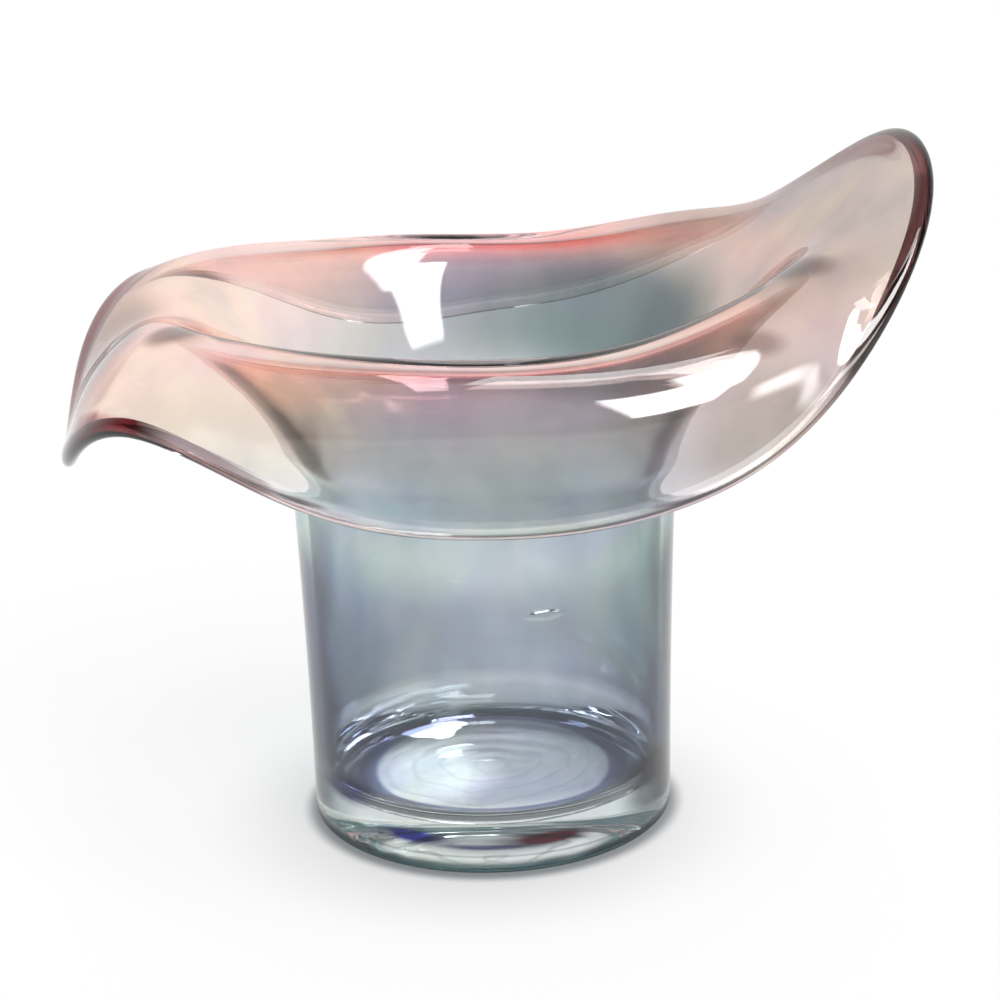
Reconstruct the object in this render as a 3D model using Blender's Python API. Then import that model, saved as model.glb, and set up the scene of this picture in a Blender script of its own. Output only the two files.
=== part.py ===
"""Handkerchief vase.

A heavy glass foot carries a nearly straight tube, whose mouth opens into a folded sheet with four corners.
A thicker thread of ruby glass is wrapped along the sheet's edge.

The origin is the centre of the flat underside and +Z is up. +X points to the raised corner, -X to the
drooping one, and -Y to the deeper of the two folds. Lengths are in metres.
"""
import math

import bmesh
import bpy
import numpy as np

# Foot and tube
FOOT_RADIUS = 0.044
FOOT_ROUNDING = 0.002
FLOOR_THICKNESS = 0.0095
FLOOR_CORNER_REACH = 0.012
FLOOR_CORNER_RISE = 0.0075
COLLAR_HEIGHT = 0.0025
WALL_THICKNESS = 0.003
WALL_SPREAD = 0.0018
SPREAD_POWER = 1.7
SHOULDER_HEIGHT = 0.084

# Clearance left at each seam between two gathers of glass
SEAM = 0.0003

# Throat of the mouth: how far it lies outside the tube and above the shoulder, and how oval it is
THROAT_REACH = 0.0085
THROAT_OVAL = 0.0025
THROAT_RISE = 0.027

# The folded sheet, chosen at sixteen directions round the mouth. Each row holds the direction in degrees
# from +X towards +Y, then three points in the middle of the glass: the crest of the fold, the middle of the
# flap, and the lip. A point is its reach outside the tube and its rise above the shoulder, in rim units.
SHEET_STATIONS = (
    (0, (32, 54), (46, 68), (56, 78)),
    (25, (25, 49), (40, 57), (51, 64)),
    (45, (20, 48), (33, 50), (42, 43)),
    (70, (16, 45), (25, 42), (31, 28)),
    (90, (17, 44), (25, 38), (29, 24)),
    (120, (20, 45), (31, 40), (38, 24)),
    (150, (25, 43), (42, 44), (54, 39)),
    (165, (28, 42), (43, 39), (55, 28)),
    (180, (29, 41), (43, 33), (53, 13)),
    (200, (30, 44), (43, 38), (54, 19)),
    (220, (25, 45), (41, 42), (52, 32)),
    (240, (23, 45), (34, 40), (40, 20)),
    (270, (22, 44), (28, 39), (30, 11)),
    (300, (26, 46), (35, 41), (39, 16)),
    (320, (30, 51), (43, 48), (50, 32)),
    (340, (33, 55), (48, 59), (59, 64)),
)
RIM_UNIT = 0.001  # the length of one rim unit

# How much further the lip's round thread stands out than the sheet's two faces
LIP_SWELL = 0.0006

# Fineness of the mesh
AROUND = 84
SHEET_ROWS = 18
WALL_ROWS = 3
ARC_STEPS = 6
LIP_POINTS = 10


def clear_scene():
    """Removes every object of the starting scene."""
    for thing in list(bpy.data.objects):
        bpy.data.objects.remove(thing, do_unlink=True)


def glass(name, colour, roughness):
    """A clear glass of one tint."""
    material = bpy.data.materials.new(name)
    material.use_nodes = True
    shader = material.node_tree.nodes["Principled BSDF"]
    shader.inputs["Base Color"].default_value = (*colour, 1.0)
    shader.inputs["Metallic"].default_value = 0.0
    shader.inputs["Roughness"].default_value = roughness
    shader.inputs["IOR"].default_value = 1.5
    shader.inputs["Transmission Weight"].default_value = 0.9
    return material


def add_object(name, mesh, material):
    """Puts a mesh into the scene under its node's name."""
    thing = bpy.data.objects.new(name, mesh)
    mesh.name = name
    mesh.materials.append(material)
    bpy.context.scene.collection.objects.link(thing)
    return thing


def outer_radius(height):
    """Outer radius of the foot and tube at a height above the table."""
    return FOOT_RADIUS + WALL_SPREAD * (height / SHOULDER_HEIGHT) ** SPREAD_POWER


def inner_radius(height):
    """Radius of the tube's bore at a height above the table."""
    return outer_radius(height) - WALL_THICKNESS


def wall_slope(height):
    """How fast the tube widens with height."""
    return WALL_SPREAD * SPREAD_POWER / SHOULDER_HEIGHT * (height / SHOULDER_HEIGHT) ** (SPREAD_POWER - 1.0)


def arc(centre, half_width, half_height, start, end, steps):
    """Points of an elliptical arc in the (radius, height) plane, with the angles in degrees."""
    angles = [math.radians(start + (end - start) * k / steps) for k in range(steps + 1)]
    return [(centre[0] + half_width * math.cos(a), centre[1] + half_height * math.sin(a)) for a in angles]


def turned(name, outline, material, closed):
    """Turns an outline of (radius, height) points round the upright axis."""
    profile = bpy.data.meshes.new(name)
    edges = [(k, k + 1) for k in range(len(outline) - 1)]
    if closed:
        edges.append((len(outline) - 1, 0))
    profile.from_pydata([(radius, 0.0, height) for radius, height in outline], edges, [])
    thing = add_object(name, profile, material)
    screw = thing.modifiers.new("turning", "SCREW")
    screw.axis = "Z"
    screw.steps = AROUND
    screw.render_steps = AROUND
    screw.use_merge_vertices = True
    screw.merge_threshold = 0.00001
    screw.use_smooth_shade = True
    return thing


def base_top():
    """Height at which the foot ends and the tube begins."""
    return FLOOR_THICKNESS + FLOOR_CORNER_RISE + COLLAR_HEIGHT


def build_base(material):
    """The thick puck: flat underside, rounded edge, and the round-cornered floor of the bore."""
    top = base_top()
    corner_height = FLOOR_THICKNESS + FLOOR_CORNER_RISE
    corner = (inner_radius(corner_height) - FLOOR_CORNER_REACH, corner_height)
    edge = (outer_radius(FOOT_ROUNDING) - FOOT_ROUNDING, FOOT_ROUNDING)
    outline = [(0.0, FLOOR_THICKNESS)]
    outline += arc(corner, FLOOR_CORNER_REACH, FLOOR_CORNER_RISE, -90, 0, ARC_STEPS)
    outline += [(inner_radius(top), top), (outer_radius(top), top)]
    outline += arc(edge, FOOT_ROUNDING, FOOT_ROUNDING, 0, -90, ARC_STEPS)
    outline += [(0.0, 0.0)]
    return turned("heavy_base", outline, material, closed=False)


def build_wall(material):
    """The tube, from the foot's seam up to the shoulder."""
    bottom = base_top() + SEAM
    heights = [bottom + (SHOULDER_HEIGHT - bottom) * k / WALL_ROWS for k in range(WALL_ROWS + 1)]
    outline = [(inner_radius(z), z) for z in heights]
    outline += [(outer_radius(z), z) for z in reversed(heights)]
    return turned("cylinder_wall", outline, material, closed=True)


def spline_round(directions, values, wanted):
    """A smooth closed curve through values set at directions in degrees, read at the wanted directions."""
    count = len(directions)
    steps = np.diff(np.append(directions, directions[0] + 360.0))
    matrix = np.zeros((count, count))
    right = np.zeros((count,) + values.shape[1:])
    for k in range(count):
        before, after = k - 1, (k + 1) % count
        matrix[k, before] += steps[before]
        matrix[k, k] += 2.0 * (steps[before] + steps[k])
        matrix[k, after] += steps[k]
        slope_after = (values[after] - values[k]) / steps[k]
        slope_before = (values[k] - values[before]) / steps[before]
        right[k] = 6.0 * (slope_after - slope_before)
    bend = np.linalg.solve(matrix, right)
    k = np.searchsorted(directions, wanted, side="right") - 1
    after = (k + 1) % count
    step = steps[k][:, None]
    u = (wanted - directions[k])[:, None]
    w = step - u
    curved = (bend[k] * w**3 + bend[after] * u**3) / (6.0 * step)
    straight = (values[k] / step - bend[k] * step / 6.0) * w
    return curved + straight + (values[after] / step - bend[after] * step / 6.0) * u


def spline_along(points, start, shares):
    """A smooth open curve through (reach, rise) points that sets off in the direction start.

    shares are the places to read, from 0 at its foot to 1 at its end, by the length of its chords.
    """
    count = len(points)
    steps = np.linalg.norm(np.diff(points, axis=0), axis=1)
    slopes = np.diff(points, axis=0) / steps[:, None]
    matrix = np.zeros((count, count))
    right = np.zeros((count, 2))
    matrix[0, :2] = 2.0 * steps[0], steps[0]
    right[0] = 6.0 * (slopes[0] - start)
    for k in range(1, count - 1):
        matrix[k, k - 1 : k + 2] = steps[k - 1], 2.0 * (steps[k - 1] + steps[k]), steps[k]
        right[k] = 6.0 * (slopes[k] - slopes[k - 1])
    matrix[-1, -1] = 1.0
    bend = np.linalg.solve(matrix, right)
    knots = np.append(0.0, np.cumsum(steps))
    places = shares * knots[-1]
    k = np.clip(np.searchsorted(knots, places, side="right") - 1, 0, count - 2)
    step = steps[k][:, None]
    u = (places - knots[k])[:, None]
    w = step - u
    curved = (bend[k] * w**3 + bend[k + 1] * u**3) / (6.0 * step)
    straight = (points[k] / step - bend[k] * step / 6.0) * w
    return curved + straight + (points[k + 1] / step - bend[k + 1] * step / 6.0) * u


def unit(vectors):
    """The same directions at length one."""
    return vectors / np.linalg.norm(vectors, axis=-1, keepdims=True)


def middle_of_sheet():
    """Rows of points on the middle of the sheet, from the shoulder to the lip's centre line."""
    turns = np.arange(AROUND) * 360.0 / AROUND
    directions = np.array([float(row[0]) for row in SHEET_STATIONS])
    chosen = np.array([[number for point in row[1:] for number in point] for row in SHEET_STATIONS])
    outer_points = spline_round(directions, chosen * RIM_UNIT, turns)

    start_height = SHOULDER_HEIGHT + SEAM
    start_radius = outer_radius(start_height) - WALL_THICKNESS / 2.0
    start = unit(np.array((wall_slope(start_height), 1.0)))
    shares = np.linspace(0.0, 1.0, SHEET_ROWS + 1)

    sheet = np.zeros((SHEET_ROWS + 1, AROUND, 3))
    for column, turn in enumerate(np.radians(turns)):
        throat = (THROAT_REACH + THROAT_OVAL * math.cos(2.0 * turn), THROAT_RISE)
        profile = np.vstack(((0.0, 0.0), throat, outer_points[column].reshape(3, 2)))
        reach, rise = spline_along(profile, start, shares).T
        radius = start_radius + reach
        height = start_height + rise
        sheet[:, column] = np.stack((radius * math.cos(turn), radius * math.sin(turn), height), axis=1)
    return sheet


def lip_directions(sheet):
    """Along the lip's line, the way out of the sheet and the sheet's upward normal."""
    along = np.roll(sheet[-1], -1, axis=0) - np.roll(sheet[-1], 1, axis=0)
    leaving = sheet[-1] - sheet[-2]
    normal = unit(np.cross(leaving, along))
    outward = unit(np.cross(along, normal))
    return outward, normal


def lip_radius():
    """Radius of the lip's thread."""
    return WALL_THICKNESS / 2.0 + LIP_SWELL


def lip_seat():
    """How far the thread's flat back lies from its centre line."""
    return math.sqrt(lip_radius() ** 2 - (WALL_THICKNESS / 2.0) ** 2)


def build_rim(sheet, material):
    """The folded sheet, ending square just short of the lip's flat back."""
    outward, _ = lip_directions(sheet)
    rows = sheet.copy()
    rows[-1] -= outward * (lip_seat() + SEAM)
    faces = []
    for row in range(SHEET_ROWS):
        for column in range(AROUND):
            after = (column + 1) % AROUND
            low, high = row * AROUND, (row + 1) * AROUND
            faces.append((low + column, low + after, high + after, high + column))
    mesh = bpy.data.meshes.new("handkerchief_rim")
    mesh.from_pydata(rows.reshape(-1, 3).tolist(), [], faces)
    mesh.shade_smooth()
    thing = add_object("handkerchief_rim", mesh, material)
    shell = thing.modifiers.new("thickness", "SOLIDIFY")
    shell.thickness = WALL_THICKNESS
    shell.offset = 0.0
    shell.use_even_offset = True
    shell.use_rim = True
    return thing


def build_lip(sheet, material):
    """The ruby thread: a round section with a flat back, swept along the sheet's edge."""
    outward, normal = lip_directions(sheet)
    half_opening = math.pi - math.asin(WALL_THICKNESS / 2.0 / lip_radius())
    section = [half_opening * (2.0 * k / (LIP_POINTS - 1) - 1.0) for k in range(LIP_POINTS)]
    shape = bmesh.new()
    loops = []
    for centre, out, up in zip(sheet[-1], outward, normal):
        around = [centre + lip_radius() * (math.cos(a) * out + math.sin(a) * up) for a in section]
        loops.append([shape.verts.new(point) for point in around])
    for column in range(AROUND):
        here, there = loops[column], loops[(column + 1) % AROUND]
        for k in range(LIP_POINTS):
            after = (k + 1) % LIP_POINTS
            shape.faces.new((there[k], there[after], here[after], here[k]))
    bmesh.ops.recalc_face_normals(shape, faces=shape.faces)
    mesh = bpy.data.meshes.new("lip_wrap")
    shape.to_mesh(mesh)
    shape.free()
    mesh.shade_smooth()
    mesh.set_sharp_from_angle(angle=math.radians(50.0))
    return add_object("lip_wrap", mesh, material)


def build_vase():
    """Builds the four gathers of glass."""
    clear_scene()
    build_base(glass("base_glass", (0.66, 0.70, 0.76), 0.03))
    build_wall(glass("body_glass", (0.70, 0.77, 0.79), 0.03))
    sheet = middle_of_sheet()
    build_rim(sheet, glass("rim_glass", (0.82, 0.72, 0.70), 0.03))
    build_lip(sheet, glass("ruby_glass", (0.30, 0.03, 0.06), 0.04))


build_vase()
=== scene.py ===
"""Looks for the handkerchief vase: four gathers of lustred glass on a pale floor in soft studio light.

The surface is one smooth loft, cut at the same seams as the solids. Lengths are in metres, +Z is up.
"""
import math

import bpy
import numpy as np
from mathutils import Matrix, Vector


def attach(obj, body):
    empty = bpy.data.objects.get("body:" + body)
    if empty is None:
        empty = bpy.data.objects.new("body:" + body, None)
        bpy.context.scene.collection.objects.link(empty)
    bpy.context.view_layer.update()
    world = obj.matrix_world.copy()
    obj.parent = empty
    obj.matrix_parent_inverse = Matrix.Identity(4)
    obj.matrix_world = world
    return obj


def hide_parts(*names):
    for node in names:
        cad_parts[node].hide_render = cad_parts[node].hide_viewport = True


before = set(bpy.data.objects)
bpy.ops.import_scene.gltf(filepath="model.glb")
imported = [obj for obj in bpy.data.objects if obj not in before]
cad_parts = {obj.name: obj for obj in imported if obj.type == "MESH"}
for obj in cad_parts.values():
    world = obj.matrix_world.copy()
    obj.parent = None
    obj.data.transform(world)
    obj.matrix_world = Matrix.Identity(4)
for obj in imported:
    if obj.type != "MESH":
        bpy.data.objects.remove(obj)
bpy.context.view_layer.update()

# Foot and tube
FOOT_RADIUS = 0.044
FOOT_ROUNDING = 0.002
FLOOR_THICKNESS = 0.0095
FLOOR_CORNER_REACH = 0.012
FLOOR_CORNER_RISE = 0.0075
COLLAR_HEIGHT = 0.0025
WALL_THICKNESS = 0.003
WALL_SPREAD = 0.0018
SPREAD_POWER = 1.7
SHOULDER_HEIGHT = 0.084
SEAM = 0.0003

# Throat of the mouth, and the folded sheet at sixteen directions, as in the solids
THROAT_REACH = 0.0085
THROAT_OVAL = 0.0025
THROAT_RISE = 0.027
SHEET_STATIONS = (
    (0, (32, 54), (46, 68), (56, 78)),
    (25, (25, 49), (40, 57), (51, 64)),
    (45, (20, 48), (33, 50), (42, 43)),
    (70, (16, 45), (25, 42), (31, 28)),
    (90, (17, 44), (25, 38), (29, 24)),
    (120, (20, 45), (31, 40), (38, 24)),
    (150, (25, 43), (42, 44), (54, 39)),
    (165, (28, 42), (43, 39), (55, 28)),
    (180, (29, 41), (43, 33), (53, 13)),
    (200, (30, 44), (43, 38), (54, 19)),
    (220, (25, 45), (41, 42), (52, 32)),
    (240, (23, 45), (34, 40), (40, 20)),
    (270, (22, 44), (28, 39), (30, 11)),
    (300, (26, 46), (35, 41), (39, 16)),
    (320, (30, 51), (43, 48), (50, 32)),
    (340, (33, 55), (48, 59), (59, 64)),
)
RIM_UNIT = 0.001

# The shallow hollow of the underside
PUNT_RADIUS = 0.036
PUNT_HEIGHT = 0.0011

# The lip's section: it thickens from LIP_BLEND to LIP_CENTRE off its centre line, and its end is round
LIP_SWELL = 0.0006
LIP_BLEND = 0.0075
LIP_CENTRE = 0.0005
LIP_BLEND_SHARE = 0.92
LIP_ROUNDNESS = 0.9
LIP_SEAT = math.sqrt((WALL_THICKNESS / 2.0 + LIP_SWELL) ** 2 - (WALL_THICKNESS / 2.0) ** 2)
NEAR_LIP = (0.0075, 0.0064, 0.0054, 0.0045, 0.0037, 0.003, 0.0024, 0.0019, LIP_SEAT)

# Fineness of the visible surface
AROUND = 288
WALL_ROWS = 26
SHEET_ROWS = 74
LIP_STEPS = 18
UNDER_STEPS = 21
ROUNDING_STEPS = 8
FOOT_STEPS = 10
COLLAR_STEPS = 4
CORNER_STEPS = 14
FLOOR_STEPS = 17
POLE_SHARE = 0.04

CORNER_TOP = FLOOR_THICKNESS + FLOOR_CORNER_RISE
BASE_TOP = CORNER_TOP + COLLAR_HEIGHT
TURNS = np.arange(AROUND) * 360.0 / AROUND
COS, SIN = np.cos(np.radians(TURNS)), np.sin(np.radians(TURNS))


def outer_radius(height):
    return FOOT_RADIUS + WALL_SPREAD * (height / SHOULDER_HEIGHT) ** SPREAD_POWER


def wall_slope(height):
    return WALL_SPREAD * SPREAD_POWER / SHOULDER_HEIGHT * (height / SHOULDER_HEIGHT) ** (SPREAD_POWER - 1.0)


def unit(vectors):
    return vectors / np.linalg.norm(vectors, axis=-1, keepdims=True)


def spline_round(directions, values, wanted):
    """A smooth closed curve through values set at directions in degrees, read at the wanted directions."""
    count = len(directions)
    steps = np.diff(np.append(directions, directions[0] + 360.0))
    matrix = np.zeros((count, count))
    right = np.zeros((count,) + values.shape[1:])
    for k in range(count):
        before, after = k - 1, (k + 1) % count
        matrix[k, before] += steps[before]
        matrix[k, k] += 2.0 * (steps[before] + steps[k])
        matrix[k, after] += steps[k]
        slope_after = (values[after] - values[k]) / steps[k]
        slope_before = (values[k] - values[before]) / steps[before]
        right[k] = 6.0 * (slope_after - slope_before)
    bend = np.linalg.solve(matrix, right)
    k = np.searchsorted(directions, wanted, side="right") - 1
    after = (k + 1) % count
    step = steps[k][:, None]
    u = (wanted - directions[k])[:, None]
    w = step - u
    curved = (bend[k] * w**3 + bend[after] * u**3) / (6.0 * step)
    straight = (values[k] / step - bend[k] * step / 6.0) * w
    return curved + straight + (values[after] / step - bend[after] * step / 6.0) * u


def spline_along(points, start, distances):
    """A smooth open curve through (reach, rise) points, read at distances from its start along its chords."""
    count = len(points)
    steps = np.linalg.norm(np.diff(points, axis=0), axis=1)
    slopes = np.diff(points, axis=0) / steps[:, None]
    matrix = np.zeros((count, count))
    right = np.zeros((count, 2))
    matrix[0, :2] = 2.0 * steps[0], steps[0]
    right[0] = 6.0 * (slopes[0] - start)
    for k in range(1, count - 1):
        matrix[k, k - 1 : k + 2] = steps[k - 1], 2.0 * (steps[k - 1] + steps[k]), steps[k]
        right[k] = 6.0 * (slopes[k] - slopes[k - 1])
    matrix[-1, -1] = 1.0
    bend = np.linalg.solve(matrix, right)
    knots = np.append(0.0, np.cumsum(steps))
    places = distances(knots[-1])
    k = np.clip(np.searchsorted(knots, places, side="right") - 1, 0, count - 2)
    step = steps[k][:, None]
    u = (places - knots[k])[:, None]
    w = step - u
    curved = (bend[k] * w**3 + bend[k + 1] * u**3) / (6.0 * step)
    straight = (points[k] / step - bend[k] * step / 6.0) * w
    return curved + straight + (points[k + 1] / step - bend[k + 1] * step / 6.0) * u


def half_thickness(inwards):
    """Half the thickness of the glass at a distance inwards from the lip's centre line."""
    share = np.clip((LIP_BLEND - inwards) / (LIP_BLEND - LIP_CENTRE), 0.0, 1.0)
    return WALL_THICKNESS / 2.0 + LIP_SWELL * LIP_BLEND_SHARE * share * share * (3.0 - 2.0 * share)


def ring(radius, height):
    """A level ring of points."""
    return np.stack((radius * COS, radius * SIN, np.full(AROUND, height)), axis=1)


def middle_rows():
    """The middle of the glass from the foot's top to the lip's centre line, and each row's half thickness."""
    rows, halves = [], []
    for k in range(WALL_ROWS + 1):
        height = BASE_TOP + (SHOULDER_HEIGHT - BASE_TOP) * k / WALL_ROWS
        rows.append(ring(outer_radius(height) - WALL_THICKNESS / 2.0, height))
        halves.append(WALL_THICKNESS / 2.0)

    directions = np.array([float(row[0]) for row in SHEET_STATIONS])
    chosen = np.array([[number for point in row[1:] for number in point] for row in SHEET_STATIONS])
    outer_points = spline_round(directions, chosen * RIM_UNIT, TURNS)
    start_radius = outer_radius(SHOULDER_HEIGHT + SEAM) - WALL_THICKNESS / 2.0
    start = unit(np.array((wall_slope(SHOULDER_HEIGHT + SEAM), 1.0)))

    def places(length):
        body = np.linspace(0.0, length - NEAR_LIP[0], SHEET_ROWS + 1)[1:-1]
        return np.concatenate((body, length - np.array(NEAR_LIP), [length]))

    sheet = np.zeros((SHEET_ROWS - 1 + len(NEAR_LIP) + 1, AROUND, 3))
    for column, turn in enumerate(np.radians(TURNS)):
        throat = (THROAT_REACH + THROAT_OVAL * math.cos(2.0 * turn), THROAT_RISE)
        profile = np.vstack(((0.0, 0.0), throat, outer_points[column].reshape(3, 2)))
        reach, rise = spline_along(profile, start, places).T
        radius = start_radius + reach
        sheet[:, column] = np.stack(
            (radius * COS[column], radius * SIN[column], SHOULDER_HEIGHT + SEAM + rise), axis=1)
    rows += list(sheet)
    halves += [WALL_THICKNESS / 2.0] * (SHEET_ROWS - 1) + [float(half_thickness(d)) for d in NEAR_LIP] + [0.0]
    return np.array(rows), np.array(halves)


def sheet_normals(rows):
    """Upward and inward normals of the middle of the glass."""
    along = np.roll(rows, -1, axis=1) - np.roll(rows, 1, axis=1)
    leaving = np.gradient(rows, axis=0)
    return unit(np.cross(leaving, along))


def punt(radius):
    """Height of the underside: a shallow hollow inside the ring that the vase stands on."""
    inner = np.clip((PUNT_RADIUS - radius) / PUNT_RADIUS, 0.0, 1.0)
    return PUNT_HEIGHT * inner * inner * (3.0 - 2.0 * inner)


def lip_bead(middle, seat_half):
    """The round end of the glass, from the outer face to the inner face."""
    centre = middle[-1]
    along = np.roll(centre, -1, axis=0) - np.roll(centre, 1, axis=0)
    leaving = centre - middle[-3]
    up = unit(np.cross(leaving, along))
    out = unit(np.cross(along, up))
    tip = WALL_THICKNESS / 2.0 + LIP_SWELL
    rows = []
    for k in range(1, LIP_STEPS):
        angle = math.pi * (k / LIP_STEPS - 0.5)
        reach = -LIP_SEAT + (tip + LIP_SEAT) * abs(math.cos(angle)) ** LIP_ROUNDNESS
        rows.append(centre + reach * out + seat_half * math.sin(angle) * up)
    return np.array(rows)


def foot_outside():
    """Rings from the middle of the underside, round the foot's edge, up to just below the foot's seam."""
    flat = outer_radius(FOOT_ROUNDING) - FOOT_ROUNDING
    rings = [ring(flat * share, punt(flat * share))
             for share in np.linspace(POLE_SHARE, 1.0, UNDER_STEPS + 1)]
    rings += [ring(flat + FOOT_ROUNDING * math.sin(a), FOOT_ROUNDING * (1.0 - math.cos(a)))
              for a in np.radians(np.linspace(0, 90, ROUNDING_STEPS + 1))[1:]]
    rings += [ring(outer_radius(height), height)
              for height in np.linspace(FOOT_ROUNDING, BASE_TOP, FOOT_STEPS + 1)[1:-1]]
    return np.array(rings)


def foot_inside():
    """Rings from just below the foot's seam, round the corner of the bore, to the middle of its floor."""
    corner = outer_radius(CORNER_TOP) - WALL_THICKNESS - FLOOR_CORNER_REACH
    rings = [ring(outer_radius(height) - WALL_THICKNESS, height)
             for height in np.linspace(BASE_TOP, CORNER_TOP, COLLAR_STEPS + 1)[1:-1]]
    rings += [ring(corner + FLOOR_CORNER_REACH * math.cos(a), CORNER_TOP - FLOOR_CORNER_RISE * math.sin(a))
              for a in np.radians(np.linspace(0, 90, CORNER_STEPS + 1))]
    rings += [ring(corner * share, FLOOR_THICKNESS)
              for share in np.linspace(1.0, POLE_SHARE, FLOOR_STEPS + 1)[1:]]
    return np.array(rings)


def closed_section():
    """The whole glass as rows of points, and the counts of rows of the foot, wall, sheet and lip.

    The rows run from the middle of the underside, over the lip, to the middle of the bore's floor.
    """
    middle, halves = middle_rows()
    offset = sheet_normals(middle)[:-1] * halves[:-1, None, None]
    outer, inner = middle[:-1] - offset, middle[:-1] + offset
    lip = lip_bead(middle, halves[-2])
    under = foot_outside()
    counts = (len(under), WALL_ROWS + 1, len(outer) - WALL_ROWS - 1, len(lip))
    return np.concatenate((under, outer, lip, inner[::-1], foot_inside())), counts


def grid_normals(rows):
    along = np.roll(rows, -1, axis=1) - np.roll(rows, 1, axis=1)
    onward = np.gradient(rows, axis=0)
    return unit(np.cross(along, onward))


def build_piece(name, runs, rows, normals, material, seam, poles=()):
    """A closed piece from runs of rows of the whole section. Its cut faces carry the clear seam material.

    A seam joins two ends of runs, each given as the run and 0 for its first row or 1 for its last. A pole
    closes an end with a point, whose normal looks up or down.
    """
    points, flow, faces, cut = [], [], [], []
    ends = []
    for first, last in runs:
        start = len(points) // AROUND
        points += rows[first:last + 1].reshape(-1, 3).tolist()
        flow += normals[first:last + 1].reshape(-1, 3).tolist()
        for row in range(start, start + last - first):
            for column in range(AROUND):
                after = (column + 1) % AROUND
                low, high = row * AROUND, (row + 1) * AROUND
                faces.append((low + column, low + after, high + after, high + column))
        ends.append((start, start + last - first))
    for a, b in seam:
        for column in range(AROUND):
            after = (column + 1) % AROUND
            low, high = ends[a[0]][a[1]] * AROUND, ends[b[0]][b[1]] * AROUND
            cut.append((low + column, low + after, high + after, high + column))
    for run, end, upward in poles:
        row = ends[run][end] * AROUND
        centre = np.array(points[row:row + AROUND]).mean(axis=0)
        points.append(centre.tolist())
        flow.append((0.0, 0.0, upward))
        middle = len(points) - 1
        for column in range(AROUND):
            after = (column + 1) % AROUND
            pair = (row + column, row + after) if end else (row + after, row + column)
            faces.append((*pair, middle))
    mesh = bpy.data.meshes.new(name)
    mesh.from_pydata(points, [], faces + cut)
    mesh.materials.append(material)
    if cut:
        mesh.materials.append(bpy.data.materials["clear_seam"])
    for face in mesh.polygons[len(faces):]:
        face.material_index = 1
    mesh.shade_smooth()
    mesh.normals_split_custom_set_from_vertices(flow)
    mesh.validate()
    piece = bpy.data.objects.new(name, mesh)
    bpy.context.scene.collection.objects.link(piece)
    return piece


# Materials. A patch or streak is full up to a share of its reach, and a ring fades out over a length
PATCH_CORE = 0.35
STREAK_CORE = 0.3
RING_END = 0.0015

# Noise: scale, detail, stretch and distortion. Colours: place in the noise, and the factor on the tint there
CLOUDS = (14.0, 2.5)
WAVES = (38.0, 2.0, (1.0, 1.0, 0.35))
SHEEN = (26.0, 3.0)
SHEEN_COLOURS = [(0.36, (0.98, 1.01, 0.99)), (0.46, (1.02, 1.02, 0.98)), (0.54, (1.00, 0.98, 1.01)),
                 (0.64, (0.95, 0.97, 1.01))]
MOTTLE = (75.0, 3.0, (1.0, 1.0, 0.6))
MOTTLE_COLOURS = [(0.34, (0.92, 0.93, 0.94)), (0.50, (0.99, 0.99, 0.99)), (0.66, (1.04, 1.04, 1.03))]
# Painted reflections: fine dark streak lines at the front of the foot, their noise, colours and place
REFLECTION_STREAKS = (22.0, 2.0, (1.0, 1.0, 14.0), 0.4)
REFLECTION_STREAK_COLOURS = [(0.34, (0.30, 0.28, 0.34)), (0.41, (1.0, 1.0, 1.0)), (0.53, (1.0, 1.0, 1.0)),
                  (0.58, (0.34, 0.38, 0.46)), (0.64, (1.0, 1.0, 1.0))]
REFLECTION_STREAK_PLACE = ((-0.0020, -0.0430, 0.0094), (0.0300, 0.0120, 0.0050))

# Swirls on the bore's floor: their waves, heights, border, radii, shades and relief
SWIRL_WAVES = {"Scale": 46.0, "Distortion": 9.0, "Detail": 2.0, "Detail Scale": 0.7}
SWIRL_HEIGHTS = (0.0093, 0.0104)
SWIRL_BORDER = 0.0003
SWIRL_RADII = (0.0300, 0.0270)
SWIRL_CRESTS = (0.80, 0.97)
SWIRL_SHADE = (0.88, 0.89, 0.90)
SWIRL_RELIEF = 0.00005

# The glass: height of the tints' scale, limit of how far the tint deepens edge-on, roughness, refraction
TINT_HEIGHT = 0.165
EDGE_LIMIT = 1.03
GLASS_ROUGHNESS = 0.015
GLASS_IOR = 1.5


def add(tree, kind, **settings):
    node = tree.nodes.new(kind)
    for key, value in settings.items():
        setattr(node, key, value)
    return node


def ramp(tree, source, stops):
    node = add(tree, "ShaderNodeValToRGB")
    node.color_ramp.interpolation = "EASE"
    band = node.color_ramp.elements
    while len(band) < len(stops):
        band.new(0.5)
    for element, (place, colour) in zip(band, stops):
        element.position = place
        element.color = (*colour, 1.0)
    tree.links.new(source, node.inputs["Fac"])
    return node.outputs["Color"]


def math_node(tree, operation, a, b=None, clamp=False):
    node = add(tree, "ShaderNodeMath", operation=operation, use_clamp=clamp)
    for socket, value in zip(node.inputs, (a, b)):
        if value is None:
            continue
        if isinstance(value, (int, float)):
            socket.default_value = value
        else:
            tree.links.new(value, socket)
    return node.outputs[0]


def mix(tree, factor, a, b, blend="MIX"):
    node = add(tree, "ShaderNodeMix", data_type="RGBA", blend_type=blend)
    if isinstance(factor, (int, float)):
        node.inputs[0].default_value = factor
    else:
        tree.links.new(factor, node.inputs[0])
    for index, value in ((6, a), (7, b)):
        if isinstance(value, tuple):
            node.inputs[index].default_value = (*value, 1.0)
        else:
            tree.links.new(value, node.inputs[index])
    return node.outputs[2]


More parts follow.
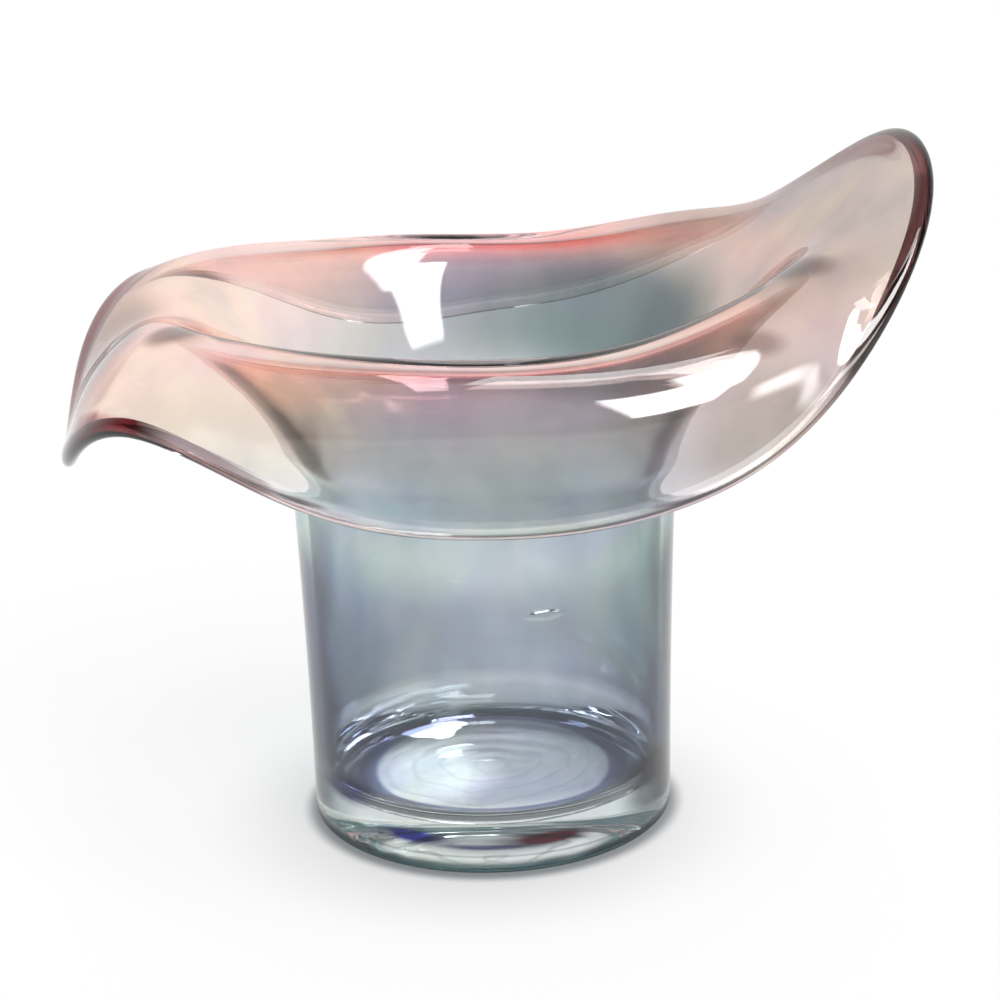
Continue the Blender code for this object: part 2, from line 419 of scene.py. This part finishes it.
def soft_patch(tree, place, centre, reach):
    """1 in the middle of an egg-shaped region and 0 outside it, with a soft border."""
    away = add(tree, "ShaderNodeVectorMath", operation="SUBTRACT")
    tree.links.new(place, away.inputs[0])
    away.inputs[1].default_value = centre
    scaled = add(tree, "ShaderNodeVectorMath", operation="DIVIDE")
    tree.links.new(away.outputs[0], scaled.inputs[0])
    scaled.inputs[1].default_value = reach
    length = add(tree, "ShaderNodeVectorMath", operation="LENGTH")
    tree.links.new(scaled.outputs[0], length.inputs[0])
    return smooth_step(tree, length.outputs["Value"], 1.0, PATCH_CORE)


def soft_streak(tree, place, start, end, reach):
    """1 along a straight line between two points and 0 beyond its reach, with a soft border."""
    line = Vector(end) - Vector(start)
    away = add(tree, "ShaderNodeVectorMath", operation="SUBTRACT")
    tree.links.new(place, away.inputs[0])
    away.inputs[1].default_value = start
    along = add(tree, "ShaderNodeVectorMath", operation="DOT_PRODUCT")
    tree.links.new(away.outputs[0], along.inputs[0])
    along.inputs[1].default_value = line / line.length_squared
    share = math_node(tree, "MULTIPLY", along.outputs["Value"], 1.0, clamp=True)
    foot = add(tree, "ShaderNodeVectorMath", operation="SCALE")
    foot.inputs[0].default_value = line
    tree.links.new(share, foot.inputs["Scale"])
    beside = add(tree, "ShaderNodeVectorMath", operation="DISTANCE")
    tree.links.new(away.outputs[0], beside.inputs[0])
    tree.links.new(foot.outputs[0], beside.inputs[1])
    return smooth_step(tree, beside.outputs["Value"], reach, reach * STREAK_CORE)


def smooth_step(tree, value, start, end):
    """0 at the start and 1 at the end, with an even curve between them."""
    node = add(tree, "ShaderNodeMapRange", interpolation_type="SMOOTHSTEP")
    tree.links.new(value, node.inputs["Value"])
    node.inputs["From Min"].default_value = start
    node.inputs["From Max"].default_value = end
    return node.outputs["Result"]


def from_axis(tree, place):
    """Distance from the vase's upright axis."""
    flat = add(tree, "ShaderNodeVectorMath", operation="MULTIPLY")
    tree.links.new(place, flat.inputs[0])
    flat.inputs[1].default_value = (1.0, 1.0, 0.0)
    length = add(tree, "ShaderNodeVectorMath", operation="LENGTH")
    tree.links.new(flat.outputs[0], length.inputs[0])
    return length.outputs["Value"]


def ring_band(tree, place, start, full, end, low, high, border):
    """1 between two distances off the axis and between two heights; 0 elsewhere."""
    apart = add(tree, "ShaderNodeSeparateXYZ")
    tree.links.new(place, apart.inputs[0])
    off_axis = from_axis(tree, place)
    across = math_node(tree, "MULTIPLY", smooth_step(tree, off_axis, start, full),
                       smooth_step(tree, off_axis, end, end - RING_END))
    return math_node(tree, "MULTIPLY", across, soft_band(tree, apart.outputs["Z"], low, high, border))


def noise_field(tree, place, scale, detail, stretch=(1.0, 1.0, 1.0), distortion=0.0):
    drawn = add(tree, "ShaderNodeMapping")
    drawn.inputs["Scale"].default_value = stretch
    tree.links.new(place, drawn.inputs["Vector"])
    noise = add(tree, "ShaderNodeTexNoise")
    noise.inputs["Scale"].default_value = scale
    noise.inputs["Detail"].default_value = detail
    noise.inputs["Distortion"].default_value = distortion
    tree.links.new(drawn.outputs[0], noise.inputs["Vector"])
    return noise.outputs["Fac"]


def soft_band(tree, value, low, high, border):
    """1 between two limits and 0 outside them, with soft borders."""
    above = smooth_step(tree, value, low - border, low + border)
    below = smooth_step(tree, value, high + border, high - border)
    return math_node(tree, "MULTIPLY", above, below)


def reflection_streaks(tree, place, tint):
    """Painted reflections: fine dark lines drawn round the thick glass at the front of the foot."""
    shades = ramp(tree, noise_field(tree, place, *REFLECTION_STREAKS), REFLECTION_STREAK_COLOURS)
    return mix(tree, soft_patch(tree, place, *REFLECTION_STREAK_PLACE), tint, shades, "MULTIPLY")


def swirl_lines(tree, place):
    """Uneven rings on the floor of the bore."""
    wave = add(tree, "ShaderNodeTexWave", wave_type="RINGS", rings_direction="Z")
    for socket, value in SWIRL_WAVES.items():
        wave.inputs[socket].default_value = value
    tree.links.new(place, wave.inputs["Vector"])
    apart = add(tree, "ShaderNodeSeparateXYZ")
    tree.links.new(place, apart.inputs[0])
    on_floor = math_node(tree, "MULTIPLY", soft_band(tree, apart.outputs["Z"], *SWIRL_HEIGHTS, SWIRL_BORDER),
                         smooth_step(tree, from_axis(tree, place), *SWIRL_RADII))
    return math_node(tree, "MULTIPLY", wave.outputs["Fac"], on_floor)


def lustre_glass(name, tints, sides, patches, depth, waviness, shadow, drift_reach=0.030, rings=(),
                 blisters=(), lines=()):
    """Glass with a lustre that is tinted by height at the left, middle and right.

    The tint deepens where the glass is seen edge-on. Patches, lines and rings multiply it with a colour; many
    of them are painted shade, painted highlights or painted reflections.
    """
    material = bpy.data.materials.new(name)
    material.use_nodes = True
    tree = material.node_tree
    tree.nodes.clear()
    output = add(tree, "ShaderNodeOutputMaterial")
    place = add(tree, "ShaderNodeTexCoord").outputs["Object"]
    apart = add(tree, "ShaderNodeSeparateXYZ")
    tree.links.new(place, apart.inputs[0])

    clouds = noise_field(tree, place, *CLOUDS)
    drift = math_node(tree, "MULTIPLY", math_node(tree, "SUBTRACT", clouds, 0.5), drift_reach)
    height = math_node(tree, "ADD", apart.outputs["Z"], drift)
    share = math_node(tree, "DIVIDE", height, TINT_HEIGHT, clamp=True)
    left, middle, right = [ramp(tree, share, stops) for stops in tints]
    near_left = smooth_step(tree, apart.outputs["X"], sides[1], sides[0])
    near_right = smooth_step(tree, apart.outputs["X"], sides[2], sides[3])
    tint = mix(tree, near_right, mix(tree, near_left, middle, left), right)
    for noise, colours in ((SHEEN, SHEEN_COLOURS), (MOTTLE, MOTTLE_COLOURS)):
        tint = mix(tree, 1.0, tint, ramp(tree, noise_field(tree, place, *noise), colours), "MULTIPLY")
    for centre, reach, colour in patches:
        tint = mix(tree, soft_patch(tree, place, centre, reach), tint, colour, "MULTIPLY")
    for start, end, reach, colour in lines:
        tint = mix(tree, soft_streak(tree, place, start, end, reach), tint, colour, "MULTIPLY")
    for *band, colour in rings:
        tint = mix(tree, ring_band(tree, place, *band), tint, colour, "MULTIPLY")
    swirl = None
    if rings:
        swirl = swirl_lines(tree, place)
        tint = reflection_streaks(tree, place, tint)
        tint = mix(tree, smooth_step(tree, swirl, *SWIRL_CRESTS), tint, SWIRL_SHADE, "MULTIPLY")

    facing = add(tree, "ShaderNodeLayerWeight")
    facing.inputs["Blend"].default_value = 0.5
    straight = math_node(tree, "SUBTRACT", EDGE_LIMIT, facing.outputs["Facing"])
    slant = math_node(tree, "SUBTRACT", math_node(tree, "DIVIDE", 1.0, straight), 1.0)
    power = math_node(tree, "ADD", math_node(tree, "MULTIPLY", slant, depth), 1.0)
    deep = add(tree, "ShaderNodeGamma")
    tree.links.new(tint, deep.inputs["Color"])
    tree.links.new(power, deep.inputs["Gamma"])

    glass = add(tree, "ShaderNodeBsdfPrincipled")
    tree.links.new(deep.outputs[0], glass.inputs["Base Color"])
    glass.inputs["Roughness"].default_value = GLASS_ROUGHNESS
    glass.inputs["IOR"].default_value = GLASS_IOR
    glass.inputs["Transmission Weight"].default_value = 1.0

    relief = math_node(tree, "MULTIPLY", noise_field(tree, place, *WAVES), waviness)
    for centre, reach, raised in blisters:
        lump = math_node(tree, "MULTIPLY", soft_patch(tree, place, centre, reach), raised)
        relief = math_node(tree, "ADD", relief, lump)
    if swirl:
        relief = math_node(tree, "ADD", relief, math_node(tree, "MULTIPLY", swirl, SWIRL_RELIEF))
    bump = add(tree, "ShaderNodeBump")
    bump.inputs["Strength"].default_value = 1.0
    bump.inputs["Distance"].default_value = 1.0
    tree.links.new(relief, bump.inputs["Height"])
    tree.links.new(bump.outputs[0], glass.inputs["Normal"])

    lamps_pass = add(tree, "ShaderNodeBsdfTransparent")
    lamps_pass.inputs["Color"].default_value = (*shadow, 1.0)
    ray = add(tree, "ShaderNodeLightPath")
    choose = add(tree, "ShaderNodeMixShader")
    tree.links.new(ray.outputs["Is Shadow Ray"], choose.inputs[0])
    tree.links.new(glass.outputs[0], choose.inputs[1])
    tree.links.new(lamps_pass.outputs[0], choose.inputs[2])
    tree.links.new(choose.outputs[0], output.inputs["Surface"])
    return material


def clear_seam():
    """The cut faces inside the glass don't show."""
    material = bpy.data.materials.new("clear_seam")
    material.use_nodes = True
    tree = material.node_tree
    tree.nodes.clear()
    output = add(tree, "ShaderNodeOutputMaterial")
    clear = add(tree, "ShaderNodeBsdfTransparent")
    tree.links.new(clear.outputs[0], output.inputs["Surface"])


# Tints at the left, middle and right: share of TINT_HEIGHT and colour. Blue below, pink or beige above
BODY_TINTS = (
    [(0.13, (0.52, 0.56, 0.64)), (0.30, (0.65, 0.70, 0.79)), (0.45, (0.79, 0.84, 0.86)),
     (0.56, (0.84, 0.86, 0.85)), (0.64, (0.88, 0.82, 0.77)), (0.74, (1.0, 0.83, 0.77)),
     (1.0, (1.0, 0.85, 0.79))],
    [(0.13, (0.51, 0.55, 0.60)), (0.30, (0.63, 0.67, 0.71)), (0.38, (0.61, 0.65, 0.68)),
     (0.46, (0.79, 0.86, 0.86)), (0.55, (0.75, 0.80, 0.82)), (0.61, (0.61, 0.62, 0.64)),
     (0.728, (0.73, 0.66, 0.70)), (0.766, (1.0, 0.79, 0.78)), (1.0, (1.0, 0.78, 0.77))],
    [(0.13, (0.49, 0.54, 0.60)), (0.30, (0.63, 0.69, 0.73)), (0.45, (0.76, 0.82, 0.83)),
     (0.56, (0.74, 0.74, 0.74)), (0.66, (0.64, 0.58, 0.56)), (0.75, (0.71, 0.60, 0.57)),
     (0.80, (0.76, 0.60, 0.57)), (0.88, (0.69, 0.61, 0.56)), (1.0, (0.70, 0.63, 0.58))],
)
CLEAR = (0.94, 0.96, 0.95)
FOOT_TOP = (0.51, 0.54, 0.59)
FOOT_TINTS = [[(0.0, CLEAR), (0.086, CLEAR), (0.118, FOOT_TOP)]] * 3

# Rings in the foot: off the axis it begins, is full and ends; lowest height, highest height, border; colour
FOOT_RINGS = (
    # the outer skin, and painted shade: its dark lower edge and a fine dark line above that
    (0.0395, 0.0425, 0.0500, -0.0100, 0.0145, 0.0015, (0.80, 0.84, 0.83)),
    (0.0400, 0.0425, 0.0500, -0.0100, 0.0034, 0.0010, (0.04, 0.08, 0.09)),
    (0.0400, 0.0425, 0.0500, 0.0046, 0.0050, 0.0003, (0.30, 0.32, 0.34)),
    # painted shade: the darker corner of the bore, and a violet line round its floor
    (0.0280, 0.0300, 0.0432, 0.0065, 0.0160, 0.0030, (0.76, 0.79, 0.84)),
    (0.0280, 0.0296, 0.0340, 0.0080, 0.0112, 0.0006, (0.38, 0.39, 0.56)),
)

# The lip is ruby at the drooping and the raised corner and nearly clear between them
RUBY_TINTS = [[(0.0, colour), (1.0, colour)] for colour in (
    (0.06, 0.001, 0.002), (0.99, 0.93, 0.92), (0.13, 0.03, 0.03))]

# Where the left tint is full and ends, and where the right tint begins and is full
SIDES = (-0.065, -0.005, 0.015, 0.065)
LIP_SIDES = (-0.074, -0.062, 0.066, 0.092)

# Patches: centre, reach and colour. Painted shade at the seam between foot and wall, left and right
SEAM_SHADES = [
    ((-0.0350, -0.0270, 0.0158), (0.0140, 0.0130, 0.0048), (0.07, 0.09, 0.28)),
    ((0.0380, -0.0210, 0.0168), (0.0150, 0.0150, 0.0056), (0.17, 0.16, 0.21)),
]
FOOT_PATCHES = [
    # painted reflections at the front: a blue streak, a dark line and a red streak
    ((-0.0190, -0.0395, 0.0089), (0.0150, 0.0100, 0.0030), (0.001, 0.003, 0.16)),
    ((-0.0010, -0.0430, 0.0072), (0.0170, 0.0080, 0.0010), (0.05, 0.05, 0.13)),
    ((0.0130, -0.0418, 0.0085), (0.0190, 0.0100, 0.0030), (0.045, 0.001, 0.004)),
    # a painted highlight over the blue streak, and painted shade in the grey between the blue and the red
    # streak
    ((-0.0120, -0.0420, 0.0105), (0.0070, 0.0100, 0.0022), (1.15, 1.20, 1.22)),
    ((0.0, -0.0430, 0.0078), (0.0270, 0.0100, 0.0036), (0.36, 0.38, 0.44)),
    # painted shade right and left of the front
    ((0.0385, -0.0205, 0.0115), (0.0150, 0.0200, 0.0085), (0.20, 0.22, 0.22)),
    ((-0.0385, -0.0205, 0.0115), (0.0110, 0.0160, 0.0070), (0.74, 0.76, 0.79)),
    *SEAM_SHADES,
    # painted shade at the left and right edge
    ((-0.0415, -0.0140, 0.0150), (0.0065, 0.0240, 0.0110), (0.40, 0.44, 0.54)),
    ((0.0415, -0.0140, 0.0140), (0.0065, 0.0240, 0.0110), (0.38, 0.42, 0.43)),
]
BODY_PATCHES = [
    # painted shade drawn up the left and the right side
    ((-0.0410, -0.0060, 0.058), (0.0060, 0.0300, 0.026), (0.62, 0.64, 0.70)),
    ((-0.0400, -0.0160, 0.032), (0.0075, 0.0240, 0.024), (0.56, 0.60, 0.70)),
    ((0.0430, -0.0080, 0.060), (0.0050, 0.0240, 0.026), (0.58, 0.62, 0.62)),
    ((0.0410, -0.0140, 0.034), (0.0070, 0.0220, 0.022), (0.68, 0.70, 0.75)),
    # paler place under the front fold, and a bluer belt low on the wall
    ((-0.0220, -0.0400, 0.076), (0.0260, 0.0160, 0.012), (1.08, 1.07, 0.98)),
    ((0.0, -0.0440, 0.030), (0.0600, 0.0400, 0.016), (0.92, 0.93, 0.97)),
    *SEAM_SHADES,
]
RIM_PATCHES = [
    # darker blue-green inside the back, pink on the back crest, and painted shade at the left of the neck
    ((0.0280, 0.0360, 0.113), (0.0700, 0.0340, 0.022), (0.36, 0.47, 0.48)),
    ((0.0100, 0.0580, 0.1285), (0.0620, 0.0180, 0.0065), (1.04, 0.80, 0.78)),
    ((-0.0435, 0.0050, 0.090), (0.0050, 0.0200, 0.014), (0.60, 0.57, 0.60)),
    # painted shade at the ends of the front crest, right and left, and on the fold at the right of the front
    ((0.0725, -0.0320, 0.1400), (0.0110, 0.0100, 0.0042), (0.42, 0.31, 0.28)),
    ((-0.0670, -0.0345, 0.1298), (0.0110, 0.0105, 0.0034), (0.44, 0.33, 0.30)),
    ((0.0600, -0.0625, 0.1318), (0.0090, 0.0065, 0.0045), (0.44, 0.38, 0.37)),
    # right and left flap, a painted reflection of the floor on the middle of the front fold, and the drooping
    # corner
    ((0.0600, -0.0620, 0.1120), (0.0300, 0.0250, 0.0180), (0.74, 0.72, 0.69)),
    ((-0.0500, -0.0680, 0.1160), (0.0300, 0.0250, 0.0160), (0.90, 0.93, 0.83)),
    ((-0.0280, -0.0730, 0.098), (0.0280, 0.0140, 0.009), (1.10, 1.16, 1.18)),
    ((-0.0870, -0.0050, 0.1195), (0.0180, 0.0500, 0.0200), (0.70, 0.65, 0.63)),
]

# Streaks: from, to, reach and colour
RIM_LINES = [
    # painted shade up the two sides of the neck
    ((-0.0550, -0.0275, 0.1220), (-0.0375, -0.0280, 0.0955), 0.0075, (0.48, 0.43, 0.43)),
    ((-0.0455, -0.0290, 0.1080), (-0.0398, -0.0292, 0.0985), 0.0060, (0.46, 0.42, 0.42)),
    ((0.0512, -0.0238, 0.1118), (0.0415, -0.0272, 0.1005), 0.0065, (0.50, 0.45, 0.49)),
    ((0.0430, -0.0268, 0.1020), (0.0398, -0.0262, 0.0930), 0.0065, (0.50, 0.45, 0.49)),
    # ruby drawn into the drooping corner
    ((-0.0900, -0.0380, 0.1095), (-0.0845, -0.0500, 0.1140), 0.0042, (0.62, 0.22, 0.22)),
    ((-0.0845, -0.0500, 0.1140), (-0.0750, -0.0625, 0.1160), 0.0036, (0.62, 0.22, 0.22)),
    # pink along the crest of the front fold, towards the raised corner
    ((0.0300, -0.0640, 0.1312), (0.0580, -0.0500, 0.1362), 0.0070, (1.32, 1.20, 1.16)),
    # a painted reflection of the floor along the edge of the front fold
    ((-0.0600, -0.0690, 0.1140), (-0.0150, -0.0765, 0.1005), 0.0070, (1.12, 1.14, 1.16)),
]
LIP_PAINTED_SHADE_LINES = [
    # painted shade at the left of the front, and down from the raised corner
    ((-0.0710, -0.0625, 0.1195), (-0.0480, -0.0745, 0.1080), 0.0060, (0.40, 0.33, 0.33)),
    ((0.0990, -0.0250, 0.1560), (0.0930, -0.0460, 0.1393), 0.0080, (0.26, 0.21, 0.18)),
    ((0.0930, -0.0460, 0.1393), (0.0820, -0.0563, 0.1256), 0.0070, (0.24, 0.20, 0.18)),
    ((0.0820, -0.0563, 0.1256), (0.0640, -0.0680, 0.1110), 0.0060, (0.62, 0.58, 0.55)),
]

# A seed in the wall that lifts its surface: centre, reach, height
SEED = [((0.0132, -0.0432, 0.0643), (0.0056, 0.0040, 0.0014), 0.00038)]


def dress():
    """The four pieces of glass, each shown in place of its part, which is hidden."""
    clear_seam()
    base = lustre_glass("base_glass", FOOT_TINTS, SIDES, FOOT_PATCHES, depth=0.80, waviness=0.00008,
                        shadow=(0.97, 0.98, 0.98), drift_reach=0.001, rings=FOOT_RINGS)
    body = lustre_glass("body_glass", BODY_TINTS, SIDES, BODY_PATCHES, depth=1.75, waviness=0.00008,
                        shadow=(0.96, 0.97, 0.97), blisters=SEED)
    rim = lustre_glass("rim_glass", BODY_TINTS, SIDES, RIM_PATCHES, depth=0.85, waviness=0.00008,
                       shadow=(0.97, 0.96, 0.96), drift_reach=0.014, lines=RIM_LINES)
    lip = lustre_glass("ruby_glass", RUBY_TINTS, LIP_SIDES, [], depth=0.45, waviness=0.00002,
                       shadow=(0.95, 0.88, 0.89), lines=LIP_PAINTED_SHADE_LINES)

    # Rows of the section at the seams, up the outer face and down the inner face
    rows, (under, wall, sheet, bead) = closed_section()
    normals = grid_normals(rows)
    foot_out, centre = under, len(rows) - 1
    shoulder_out = foot_out + wall - 1
    lip_out = shoulder_out + sheet
    lip_in = lip_out + bead + 1
    shoulder_in = lip_in + sheet
    foot_in = shoulder_in + wall - 1
    above, below, round_end = ((0, 1), (1, 0)), ((1, 1), (0, 0)), ((0, 1), (0, 0))
    pieces = (
        ("heavy_base_glass", "heavy_base", [(0, foot_out), (foot_in, centre)], base, [above],
         ((0, 0, -1.0), (1, 1, 1.0)), "base_glass"),
        ("cylinder_wall_glass", "cylinder_wall", [(foot_out, shoulder_out), (shoulder_in, foot_in)], body,
         [above, below], (), "body_glass"),
        ("handkerchief_rim_glass", "handkerchief_rim", [(shoulder_out, lip_out), (lip_in, shoulder_in)], rim,
         [above, below], (), "rim_glass"),
        ("lip_wrap_glass", "lip_wrap", [(lip_out, lip_in)], lip, [round_end], (), "ruby_glass"),
    )
    for name, node, runs, material, seam, poles, slot in pieces:
        piece = build_piece(name, runs, rows, normals, material, seam, poles)
        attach(piece, "root")
        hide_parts(node)


# Camera. ROLL is how far it is turned about its own axis
AIM = Vector((0.0037, 0.0, 0.078))
DISTANCE = 0.650
ELEVATION = math.radians(18.0)
ROLL = math.radians(1.64)
LENS = 97.34
SENSOR = 36.0


def place_camera():
    back = Vector((0.0, -math.cos(ELEVATION), math.sin(ELEVATION)))
    right = Vector((1.0, 0.0, 0.0))
    up = back.cross(right)
    turned_right = right * math.cos(ROLL) - up * math.sin(ROLL)
    turned_up = up * math.cos(ROLL) + right * math.sin(ROLL)
    camera = bpy.data.objects.new("camera", bpy.data.cameras.new("camera"))
    bpy.context.scene.collection.objects.link(camera)
    axes = Matrix((turned_right, turned_up, back)).transposed()
    camera.matrix_world = Matrix.Translation(AIM + back * DISTANCE) @ axes.to_4x4()
    camera.data.sensor_width = SENSOR
    camera.data.lens = LENS
    bpy.context.scene.camera = camera


# The floor, and painted light and shade on it, by distance from the vase's axis or as patches: a painted
# shadow round the foot, painted light that the glass would gather under it, and a painted glint seen through
# the glass
FLOOR_HALF = 4.0
FLOOR_DROP = 0.0002
FLOOR_ROUGHNESS = 0.9
FLOOR_SPECULAR = 0.1
FLOOR_COLOUR = (0.45, 0.45, 0.45)
FLOOR_GLOW = 0.285
# A painted contact shadow round the foot: its radii, colour and loss of glow
CONTACT_SHADOW_OUTER = (0.0480, 0.0435)
CONTACT_SHADOW_INNER = (0.0290, 0.0345)
CONTACT_SHADOW_COLOUR = (0.14, 0.15, 0.16)
CONTACT_SHADOW_LOSS = 0.06
# A painted shadow of the vase on the floor, and its loss of glow
SHADE = ((-0.002, -0.004, 0.0), (0.074, 0.076, 1.0))
SHADE_LOSS = 0.20
# Painted light under the clear glass of the foot
DISC_RADII = (0.0320, 0.0240)
DISC_GLOW = 0.46
# Painted light under the left of the foot
LEFT_GLEAM = ((-0.016, 0.004, 0.0), (0.022, 0.024, 1.0))
LEFT_GLOW = 1.5
# A painted glint seen through the corner of the bore
GLINT = ((-0.0165, 0.0325, 0.0), (0.0125, 0.0095, 1.0))
GLINT_TEAR = 1.6
GLINT_EDGE = (0.42, 0.62)
GLINT_GLOW = 6.0


def floor_glow(tree, place, off_axis, contact_shadow):
    """Strength of the floor's own light: less in the shade of the foot, more under the clear glass."""
    shade = soft_patch(tree, place, *SHADE)
    dark = math_node(tree, "ADD", math_node(tree, "MULTIPLY", contact_shadow, CONTACT_SHADOW_LOSS),
                     math_node(tree, "MULTIPLY", shade, SHADE_LOSS))
    glow = math_node(tree, "SUBTRACT", FLOOR_GLOW, dark)
    disc = math_node(tree, "MULTIPLY", smooth_step(tree, off_axis, *DISC_RADII), DISC_GLOW)
    glow = math_node(tree, "ADD", glow, disc)
    gleam = math_node(tree, "MULTIPLY", soft_patch(tree, place, *LEFT_GLEAM), LEFT_GLOW)
    glow = math_node(tree, "ADD", glow, gleam)
    ragged = math_node(tree, "SUBTRACT", noise_field(tree, place, 60.0, 2.0, (1.0, 3.2, 1.0)), 0.5)
    torn = math_node(tree, "MULTIPLY", ragged, GLINT_TEAR)
    glint = math_node(tree, "ADD", soft_patch(tree, place, *GLINT), torn)
    glint = math_node(tree, "MULTIPLY", smooth_step(tree, glint, *GLINT_EDGE), GLINT_GLOW)
    return math_node(tree, "ADD", glow, glint)


def add_floor():
    mesh = bpy.data.meshes.new("studio_floor")
    corners = [(-FLOOR_HALF, -FLOOR_HALF, 0), (FLOOR_HALF, -FLOOR_HALF, 0), (FLOOR_HALF, FLOOR_HALF, 0),
               (-FLOOR_HALF, FLOOR_HALF, 0)]
    mesh.from_pydata(corners, [], [(0, 1, 2, 3)])
    floor = bpy.data.objects.new("studio_floor", mesh)
    floor.location = (0.0, 0.0, -FLOOR_DROP)
    material = bpy.data.materials.new("studio_floor")
    material.use_nodes = True
    shader = material.node_tree.nodes["Principled BSDF"]
    shader.inputs["Roughness"].default_value = FLOOR_ROUGHNESS
    shader.inputs["Specular IOR Level"].default_value = FLOOR_SPECULAR
    shader.inputs["Emission Color"].default_value = (1.0, 1.0, 1.0, 1.0)
    tree = material.node_tree
    place = add(tree, "ShaderNodeTexCoord").outputs["Object"]
    off_axis = from_axis(tree, place)
    # A painted contact shadow round the foot
    contact_shadow = math_node(tree, "MULTIPLY", smooth_step(tree, off_axis, *CONTACT_SHADOW_OUTER),
                        smooth_step(tree, off_axis, *CONTACT_SHADOW_INNER))
    tree.links.new(floor_glow(tree, place, off_axis, contact_shadow), shader.inputs["Emission Strength"])
    tree.links.new(mix(tree, contact_shadow, FLOOR_COLOUR, CONTACT_SHADOW_COLOUR), shader.inputs["Base Color"])
    mesh.materials.append(material)
    bpy.context.scene.collection.objects.link(floor)


# Studio light by the sine of the elevation: in front of the vase, and on the pale sweep behind it
FRONT_LIGHT = [(0.0, (0.90, 0.90, 0.90)), (0.13, (0.80, 0.80, 0.81)), (0.24, (0.16, 0.165, 0.18)),
               (0.80, (0.14, 0.145, 0.16)), (1.0, (0.30, 0.30, 0.32))]
SWEEP_LIGHT = [(0.0, (0.97, 0.97, 0.97)), (0.43, (0.95, 0.95, 0.95)), (0.64, (0.70, 0.70, 0.71)),
               (0.87, (0.25, 0.25, 0.27)), (1.0, (0.30, 0.30, 0.32))]
SWEEP_EDGES = (0.1, 0.7)

# Window panes, in degrees: azimuth from the camera's side towards +X, from and to; elevation, from and to;
# lean of the near and the far side; border; strength
PANES = (
    (13.0, 50.0, 21.5, 48.0, -0.20, 0.55, 1.2, 24.0),
    (30.0, 58.0, 30.0, 61.0, 0.0, 0.47, 1.5, 20.0),
    (36.0, 60.0, 61.0, 75.0, 0.0, 0.0, 1.5, 12.0),
    (-10.0, 75.0, 75.0, 92.0, 0.0, 0.0, 1.5, 8.0),
    (48.0, 61.0, 8.0, 18.0, 0.0, 0.0, 3.5, 11.0),
)
DEGREE = math.pi / 180.0


def add_world():
    """A dim studio with a pale sweep behind the vase, and window panes of light in front, to the right."""
    world = bpy.data.worlds.new("studio")
    world.use_nodes = True
    bpy.context.scene.world = world
    tree = world.node_tree
    tree.nodes.clear()
    output = add(tree, "ShaderNodeOutputWorld")
    sky = add(tree, "ShaderNodeBackground")
    sky.inputs["Strength"].default_value = 1.0
    direction = add(tree, "ShaderNodeTexCoord").outputs["Generated"]
    apart = add(tree, "ShaderNodeSeparateXYZ")
    tree.links.new(direction, apart.inputs[0])
    up, side, back = apart.outputs["Z"], apart.outputs["X"], apart.outputs["Y"]
    elevation = math_node(tree, "DIVIDE", math_node(tree, "ARCSINE", up), DEGREE)
    azimuth = math_node(tree, "DIVIDE",
                        math_node(tree, "ARCTAN2", side, math_node(tree, "MULTIPLY", back, -1.0)), DEGREE)
    front, sweep = ramp(tree, up, FRONT_LIGHT), ramp(tree, up, SWEEP_LIGHT)
    light = mix(tree, smooth_step(tree, back, *SWEEP_EDGES), front, sweep)
    for left, right, low, high, near_lean, far_lean, border, strength in PANES:
        below = math_node(tree, "SUBTRACT", high, elevation)
        near = math_node(tree, "ADD", azimuth, math_node(tree, "MULTIPLY", below, near_lean))
        far = math_node(tree, "ADD", azimuth, math_node(tree, "MULTIPLY", below, far_lean))
        across = math_node(tree, "MULTIPLY", smooth_step(tree, near, left - border, left + border),
                           smooth_step(tree, far, right + border, right - border))
        pane = math_node(tree, "MULTIPLY", across, soft_band(tree, elevation, low, high, border))
        light = mix(tree, pane, light, (strength,) * 3)
    tree.links.new(light, sky.inputs["Color"])
    tree.links.new(sky.outputs[0], output.inputs["Surface"])


# How often light may bounce: it is guided along inside the sheet
BOUNCES = 24
BRIGHTEST_BOUNCE = 8.0


def set_view():
    scene = bpy.context.scene
    scene.view_settings.view_transform = "Standard"
    scene.view_settings.look = "None"
    cycles = scene.cycles
    cycles.use_denoising = True
    cycles.max_bounces = BOUNCES + 2
    cycles.transmission_bounces = BOUNCES
    cycles.glossy_bounces = BOUNCES
    cycles.transparent_max_bounces = BOUNCES
    cycles.caustics_reflective = False
    cycles.caustics_refractive = False
    cycles.sample_clamp_indirect = BRIGHTEST_BOUNCE


place_camera()
add_floor()
add_world()
dress()
set_view()
